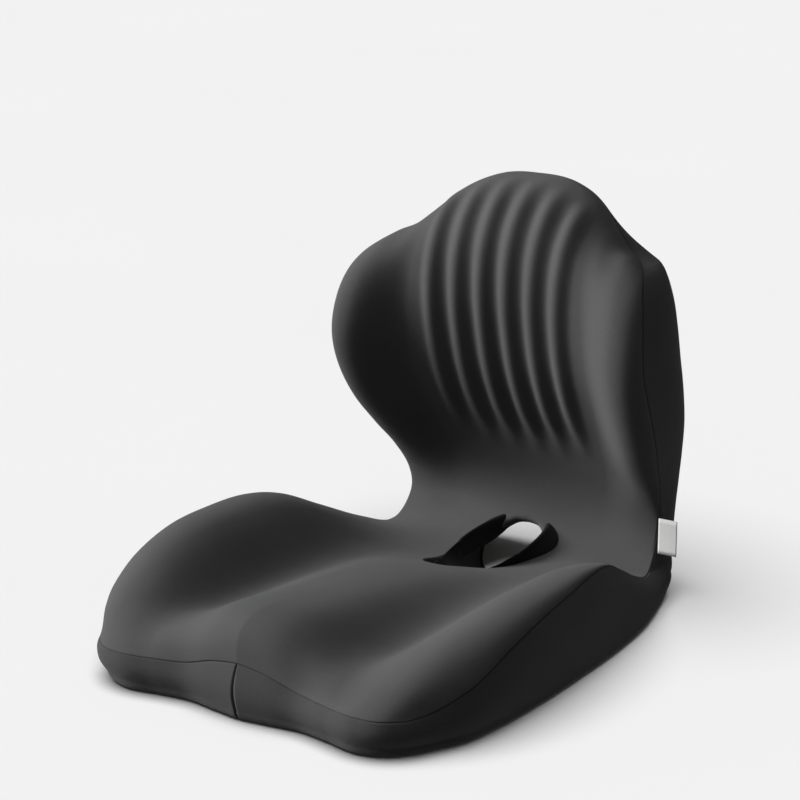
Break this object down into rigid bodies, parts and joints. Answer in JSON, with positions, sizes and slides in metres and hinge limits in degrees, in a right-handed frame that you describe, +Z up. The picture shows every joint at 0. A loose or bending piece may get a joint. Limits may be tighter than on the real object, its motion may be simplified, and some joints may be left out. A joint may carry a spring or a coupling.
{
  "type": "seat cushion",
  "caption": "Contoured foam seat cushion with a built-in ribbed lumbar back, thigh troughs, raised sides and a tailbone opening, in a sewn knit cover that unzips at the rear.",
  "frame": {"origin": "under the middle of the base, on the surface it stands on", "axes": "+Z up, +X to the sitter's left (the right side of a front view), -Y the way the sitter faces"},
  "size_m": [0.4194, 0.5588, 0.407],
  "materials": {
    "foam": "matte",
    "face_knit": "matte",
    "gusset_knit": "matte",
    "lining_cloth": "matte",
    "base_cloth": "matte",
    "label_tape": "matte",
    "zip_tape": "matte",
    "zip_teeth": "satin",
    "zip_metal": "satin"
  },
  "bodies": {
    "seat": {"seat_foam": "foam", "seat_face_cover": "face_knit", "left_side_gusset": "gusset_knit", "right_side_gusset": "gusset_knit", "base_panel": "base_cloth", "tunnel_lining": "lining_cloth", "side_label": "label_tape"},
    "back": {"back_foam": "foam", "back_face_cover": "face_knit", "left_rear_panel": "gusset_knit", "right_rear_panel": "gusset_knit", "left_zip_tape": "zip_tape", "right_zip_tape": "zip_tape", "left_zip_teeth": "zip_teeth", "right_zip_teeth": "zip_teeth", "zip_top_stop": "zip_metal", "zip_bottom_stop": "zip_metal"},
    "zip_slider": {"zip_slider": "zip_metal"},
    "zip_puller": {"zip_puller": "zip_metal"}
  },
  "joints": [
    {"name": "waist_flex", "type": "hinge", "parent": "seat", "child": "back", "pos_m": [0, 0.243, 0.08], "axis": [1, 0, 0], "range_deg": [-10, 10], "stiffness_Nm_per_rad": 60, "springref_deg": -0.29},
    {"name": "zip_slide", "type": "slide", "parent": "back", "child": "zip_slider", "axis": [0, 0.1386, -0.9903], "range_m": [0, 0.155]},
    {"name": "puller_swing", "type": "hinge", "parent": "zip_slider", "child": "zip_puller", "pos_m": [0, 0.25005, 0.30553], "axis": [1, 0, 0], "range_deg": [0, 160]}
  ]
}
